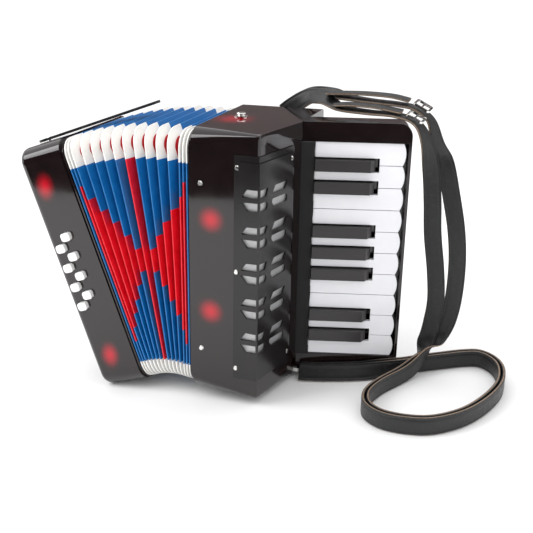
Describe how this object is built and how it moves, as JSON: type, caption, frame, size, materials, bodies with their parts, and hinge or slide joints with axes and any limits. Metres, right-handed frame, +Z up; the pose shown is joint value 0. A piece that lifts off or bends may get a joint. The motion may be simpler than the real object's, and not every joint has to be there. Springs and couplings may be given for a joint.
{
  "type": "toy piano accordion",
  "caption": "Child's piano accordion: keyboard case, button case and fanned pleated bellows between them, with shoulder straps.",
  "frame": {"origin": "on the floor, under the middle of the whole instrument's box, straps included", "axes": "+X from the bass case to the keyboard, +Y from the front to the player, +Z up"},
  "size_m": [0.483, 0.185, 0.2979],
  "materials": {
    "case": "high gloss black moulding with soft red sprayed spots",
    "grille_plate": "semi-gloss black moulding",
    "grille_mesh": "silver-grey woven speaker cloth",
    "wood": "plain light plywood, unfinished",
    "metal": "bright nickel plate",
    "spring": "drawn phosphor bronze",
    "felt": "black felt, matt",
    "bellows_frame": "black, matt",
    "bellows": "coated paper cloth: blue and red with white corners",
    "leather": "black grained strap leather with stitched edges",
    "white_key": "satin white moulding",
    "black_key": "satin black moulding",
    "bass_button": "gloss white moulding"
  },
  "bodies": {
    "treble": {"treble_case": "case", "treble_soundboard": "wood", "grille_plate": "grille_plate", "grille_mesh": "grille_mesh", "treble_screws": "metal", "keyboard_case": "case", "key_axle": "metal", "key_springs": "spring", "felt_strip": "felt", "bellows_frame_treble": "bellows_frame", "strap_fittings": "metal", "shoulder_straps": "leather", "strap_buckles": "metal"},
    "bass": {"bellows_frame_bass": "bellows_frame", "bass_case": "case", "bass_reed_block": "wood", "bass_screws": "metal", "button_springs": "spring", "bass_hand_strap": "leather"},
    "closing_flap": {"closing_strap": "leather"},
    "fold_01": {"bellows_fold_01": "bellows"},
    "fold_02": {"bellows_fold_02": "bellows"},
    "fold_03": {"bellows_fold_03": "bellows"},
    "fold_04": {"bellows_fold_04": "bellows"},
    "fold_05": {"bellows_fold_05": "bellows"},
    "fold_06": {"bellows_fold_06": "bellows"},
    "fold_07": {"bellows_fold_07": "bellows"},
    "fold_08": {"bellows_fold_08": "bellows"},
    "fold_09": {"bellows_fold_09": "bellows"},
    "fold_10": {"bellows_fold_10": "bellows"},
    "fold_11": {"bellows_fold_11": "bellows"},
    "fold_12": {"bellows_fold_12": "bellows"},
    "fold_13": {"bellows_fold_13": "bellows"},
    "fold_14": {"bellows_fold_14": "bellows"},
    "fold_15": {"bellows_fold_15": "bellows"},
    "white_key_01": {"white_key_01": "white_key"},
    "white_key_02": {"white_key_02": "white_key"},
    "white_key_03": {"white_key_03": "white_key"},
    "white_key_04": {"white_key_04": "white_key"},
    "white_key_05": {"white_key_05": "white_key"},
    "white_key_06": {"white_key_06": "white_key"},
    "white_key_07": {"white_key_07": "white_key"},
    "white_key_08": {"white_key_08": "white_key"},
    "white_key_09": {"white_key_09": "white_key"},
    "white_key_10": {"white_key_10": "white_key"},
    "black_key_01": {"black_key_01": "black_key"},
    "black_key_02": {"black_key_02": "black_key"},
    "black_key_03": {"black_key_03": "black_key"},
    "black_key_04": {"black_key_04": "black_key"},
    "black_key_05": {"black_key_05": "black_key"},
    "black_key_06": {"black_key_06": "black_key"},
    "black_key_07": {"black_key_07": "black_key"},
    "bass_button_1": {"bass_button_1": "bass_button"},
    "bass_button_2": {"bass_button_2": "bass_button"},
    "bass_button_3": {"bass_button_3": "bass_button"},
    "bass_button_4": {"bass_button_4": "bass_button"},
    "bass_button_5": {"bass_button_5": "bass_button"},
    "bass_button_6": {"bass_button_6": "bass_button"},
    "bass_button_7": {"bass_button_7": "bass_button"},
    "bass_button_8": {"bass_button_8": "bass_button"}
  },
  "joints": [
    {"name": "bellows_fan", "type": "hinge", "parent": "treble", "child": "bass", "pos_m": [-0.0977, -0.00095, -0.00041], "axis": [0, -1, 0], "range_deg": [-19.7, 10]},
    {"name": "fold_01_turn", "type": "hinge", "parent": "treble", "child": "fold_01", "pos_m": [-0.0977, -0.00095, -0.00041], "axis": [0, -1, 0], "range_deg": [-0.16, 0.086]},
    {"name": "fold_02_turn", "type": "hinge", "parent": "treble", "child": "fold_02", "pos_m": [-0.0977, -0.00095, -0.00041], "axis": [0, -1, 0], "range_deg": [-0.31, 0.162]},
    {"name": "fold_03_turn", "type": "hinge", "parent": "treble", "child": "fold_03", "pos_m": [-0.0977, -0.00095, -0.00041], "axis": [0, -1, 0], "range_deg": [-0.46, 0.238]},
    {"name": "fold_04_turn", "type": "hinge", "parent": "treble", "child": "fold_04", "pos_m": [-0.0977, -0.00095, -0.00041], "axis": [0, -1, 0], "range_deg": [-2.34, 1.19]},
    {"name": "fold_05_turn", "type": "hinge", "parent": "treble", "child": "fold_05", "pos_m": [-0.0977, -0.00095, -0.00041], "axis": [0, -1, 0], "range_deg": [-4.22, 2.15]},
    {"name": "fold_06_turn", "type": "hinge", "parent": "treble", "child": "fold_06", "pos_m": [-0.0977, -0.00095, -0.00041], "axis": [0, -1, 0], "range_deg": [-6.1, 3.1]},
    {"name": "fold_07_turn", "type": "hinge", "parent": "treble", "child": "fold_07", "pos_m": [-0.0977, -0.00095, -0.00041], "axis": [0, -1, 0], "range_deg": [-7.98, 4.06]},
    {"name": "fold_08_turn", "type": "hinge", "parent": "treble", "child": "fold_08", "pos_m": [-0.0977, -0.00095, -0.00041], "axis": [0, -1, 0], "range_deg": [-9.86, 5.01]},
    {"name": "fold_09_turn", "type": "hinge", "parent": "treble", "child": "fold_09", "pos_m": [-0.0977, -0.00095, -0.00041], "axis": [0, -1, 0], "range_deg": [-11.74, 5.96]},
    {"name": "fold_10_turn", "type": "hinge", "parent": "treble", "child": "fold_10", "pos_m": [-0.0977, -0.00095, -0.00041], "axis": [0, -1, 0], "range_deg": [-13.62, 6.92]},
    {"name": "fold_11_turn", "type": "hinge", "parent": "treble", "child": "fold_11", "pos_m": [-0.0977, -0.00095, -0.00041], "axis": [0, -1, 0], "range_deg": [-15.5, 7.87]},
    {"name": "fold_12_turn", "type": "hinge", "parent": "treble", "child": "fold_12", "pos_m": [-0.0977, -0.00095, -0.00041], "axis": [0, -1, 0], "range_deg": [-17.38, 8.83]},
    {"name": "fold_13_turn", "type": "hinge", "parent": "treble", "child": "fold_13", "pos_m": [-0.0977, -0.00095, -0.00041], "axis": [0, -1, 0], "range_deg": [-19.26, 9.78]},
    {"name": "fold_14_turn", "type": "hinge", "parent": "treble", "child": "fold_14", "pos_m": [-0.0977, -0.00095, -0.00041], "axis": [0, -1, 0], "range_deg": [-19.41, 9.86]},
    {"name": "fold_15_turn", "type": "hinge", "parent": "treble", "child": "fold_15", "pos_m": [-0.0977, -0.00095, -0.00041], "axis": [0, -1, 0], "range_deg": [-19.56, 9.93]},
    {"name": "closing_strap_lift", "type": "hinge", "parent": "bass", "child": "closing_flap", "pos_m": [-0.23063, -0.02695, 0.25927], "axis": [0.2035, -0.9774, 0.057], "range_deg": [-1.25, 2.45]},
    {"name": "white_key_01_press", "type": "hinge", "parent": "treble", "child": "white_key_01", "pos_m": [0.03783, 0.01425, 0.14135], "axis": [0.0708, 0, 0.9975], "range_deg": [0, 3.5], "stiffness_Nm_per_rad": 0.3, "springref_deg": -4.58},
    {"name": "white_key_02_press", "type": "hinge", "parent": "treble", "child": "white_key_02", "pos_m": [0.03783, 0.01425, 0.14135], "axis": [0.0708, 0, 0.9975], "range_deg": [0, 3.5], "stiffness_Nm_per_rad": 0.3, "springref_deg": -4.58},
    {"name": "white_key_03_press", "type": "hinge", "parent": "treble", "child": "white_key_03", "pos_m": [0.03783, 0.01425, 0.14135], "axis": [0.0708, 0, 0.9975], "range_deg": [0, 3.5], "stiffness_Nm_per_rad": 0.3, "springref_deg": -4.58},
    {"name": "white_key_04_press", "type": "hinge", "parent": "treble", "child": "white_key_04", "pos_m": [0.03783, 0.01425, 0.14135], "axis": [0.0708, 0, 0.9975], "range_deg": [0, 3.5], "stiffness_Nm_per_rad": 0.3, "springref_deg": -4.58},
    {"name": "white_key_05_press", "type": "hinge", "parent": "treble", "child": "white_key_05", "pos_m": [0.03783, 0.01425, 0.14135], "axis": [0.0708, 0, 0.9975], "range_deg": [0, 3.5], "stiffness_Nm_per_rad": 0.3, "springref_deg": -4.58},
    {"name": "white_key_06_press", "type": "hinge", "parent": "treble", "child": "white_key_06", "pos_m": [0.03783, 0.01425, 0.14135], "axis": [0.0708, 0, 0.9975], "range_deg": [0, 3.5], "stiffness_Nm_per_rad": 0.3, "springref_deg": -4.58},
    {"name": "white_key_07_press", "type": "hinge", "parent": "treble", "child": "white_key_07", "pos_m": [0.03783, 0.01425, 0.14135], "axis": [0.0708, 0, 0.9975], "range_deg": [0, 3.5], "stiffness_Nm_per_rad": 0.3, "springref_deg": -4.58},
    {"name": "white_key_08_press", "type": "hinge", "parent": "treble", "child": "white_key_08", "pos_m": [0.03783, 0.01425, 0.14135], "axis": [0.0708, 0, 0.9975], "range_deg": [0, 3.5], "stiffness_Nm_per_rad": 0.3, "springref_deg": -4.58},
    {"name": "white_key_09_press", "type": "hinge", "parent": "treble", "child": "white_key_09", "pos_m": [0.03783, 0.01425, 0.14135], "axis": [0.0708, 0, 0.9975], "range_deg": [0, 3.5], "stiffness_Nm_per_rad": 0.3, "springref_deg": -4.58},
    {"name": "white_key_10_press", "type": "hinge", "parent": "treble", "child": "white_key_10", "pos_m": [0.03783, 0.01425, 0.14135], "axis": [0.0708, 0, 0.9975], "range_deg": [0, 3.5], "stiffness_Nm_per_rad": 0.3, "springref_deg": -4.58},
    {"name": "black_key_01_press", "type": "hinge", "parent": "treble", "child": "black_key_01", "pos_m": [0.03783, 0.01425, 0.14135], "axis": [0.0708, 0, 0.9975], "range_deg": [0, 3.5], "stiffness_Nm_per_rad": 0.3, "springref_deg": -4.58},
    {"name": "black_key_02_press", "type": "hinge", "parent": "treble", "child": "black_key_02", "pos_m": [0.03783, 0.01425, 0.14135], "axis": [0.0708, 0, 0.9975], "range_deg": [0, 3.5], "stiffness_Nm_per_rad": 0.3, "springref_deg": -4.58},
    {"name": "black_key_03_press", "type": "hinge", "parent": "treble", "child": "black_key_03", "pos_m": [0.03783, 0.01425, 0.14135], "axis": [0.0708, 0, 0.9975], "range_deg": [0, 3.5], "stiffness_Nm_per_rad": 0.3, "springref_deg": -4.58},
    {"name": "black_key_04_press", "type": "hinge", "parent": "treble", "child": "black_key_04", "pos_m": [0.03783, 0.01425, 0.14135], "axis": [0.0708, 0, 0.9975], "range_deg": [0, 3.5], "stiffness_Nm_per_rad": 0.3, "springref_deg": -4.58},
    {"name": "black_key_05_press", "type": "hinge", "parent": "treble", "child": "black_key_05", "pos_m": [0.03783, 0.01425, 0.14135], "axis": [0.0708, 0, 0.9975], "range_deg": [0, 3.5], "stiffness_Nm_per_rad": 0.3, "springref_deg": -4.58},
    {"name": "black_key_06_press", "type": "hinge", "parent": "treble", "child": "black_key_06", "pos_m": [0.03783, 0.01425, 0.14135], "axis": [0.0708, 0, 0.9975], "range_deg": [0, 3.5], "stiffness_Nm_per_rad": 0.3, "springref_deg": -4.58},
    {"name": "black_key_07_press", "type": "hinge", "parent": "treble", "child": "black_key_07", "pos_m": [0.03783, 0.01425, 0.14135], "axis": [0.0708, 0, 0.9975], "range_deg": [0, 3.5], "stiffness_Nm_per_rad": 0.3, "springref_deg": -4.58},
    {"name": "bass_button_1_press", "type": "slide", "parent": "bass", "child": "bass_button_1", "axis": [0, 1, 0], "range_m": [0, 0.004], "stiffness_N_per_m": 120, "springref_m": -0.002},
    {"name": "bass_button_2_press", "type": "slide", "parent": "bass", "child": "bass_button_2", "axis": [0, 1, 0], "range_m": [0, 0.004], "stiffness_N_per_m": 120, "springref_m": -0.002},
    {"name": "bass_button_3_press", "type": "slide", "parent": "bass", "child": "bass_button_3", "axis": [0, 1, 0], "range_m": [0, 0.004], "stiffness_N_per_m": 120, "springref_m": -0.002},
    {"name": "bass_button_4_press", "type": "slide", "parent": "bass", "child": "bass_button_4", "axis": [0, 1, 0], "range_m": [0, 0.004], "stiffness_N_per_m": 120, "springref_m": -0.002},
    {"name": "bass_button_5_press", "type": "slide", "parent": "bass", "child": "bass_button_5", "axis": [0, 1, 0], "range_m": [0, 0.004], "stiffness_N_per_m": 120, "springref_m": -0.002},
    {"name": "bass_button_6_press", "type": "slide", "parent": "bass", "child": "bass_button_6", "axis": [0, 1, 0], "range_m": [0, 0.004], "stiffness_N_per_m": 120, "springref_m": -0.002},
    {"name": "bass_button_7_press", "type": "slide", "parent": "bass", "child": "bass_button_7", "axis": [0, 1, 0], "range_m": [0, 0.004], "stiffness_N_per_m": 120, "springref_m": -0.002},
    {"name": "bass_button_8_press", "type": "slide", "parent": "bass", "child": "bass_button_8", "axis": [0, 1, 0], "range_m": [0, 0.004], "stiffness_N_per_m": 120, "springref_m": -0.002}
  ],
  "couplings": [
    {"joint": "fold_01_turn", "follows": "bellows_fan", "ratio": 0.00761},
    {"joint": "fold_02_turn", "follows": "bellows_fan", "ratio": 0.01523},
    {"joint": "fold_03_turn", "follows": "bellows_fan", "ratio": 0.02284},
    {"joint": "fold_04_turn", "follows": "bellows_fan", "ratio": 0.11827},
    {"joint": "fold_05_turn", "follows": "bellows_fan", "ratio": 0.21371},
    {"joint": "fold_06_turn", "follows": "bellows_fan", "ratio": 0.30914},
    {"joint": "fold_07_turn", "follows": "bellows_fan", "ratio": 0.40457},
    {"joint": "fold_08_turn", "follows": "bellows_fan", "ratio": 0.5},
    {"joint": "fold_09_turn", "follows": "bellows_fan", "ratio": 0.59543},
    {"joint": "fold_10_turn", "follows": "bellows_fan", "ratio": 0.69086},
    {"joint": "fold_11_turn", "follows": "bellows_fan", "ratio": 0.78629},
    {"joint": "fold_12_turn", "follows": "bellows_fan", "ratio": 0.88173},
    {"joint": "fold_13_turn", "follows": "bellows_fan", "ratio": 0.97716},
    {"joint": "fold_14_turn", "follows": "bellows_fan", "ratio": 0.98477},
    {"joint": "fold_15_turn", "follows": "bellows_fan", "ratio": 0.99239},
    {"joint": "closing_strap_lift", "follows": "bellows_fan", "ratio": -0.1218}
  ]
}
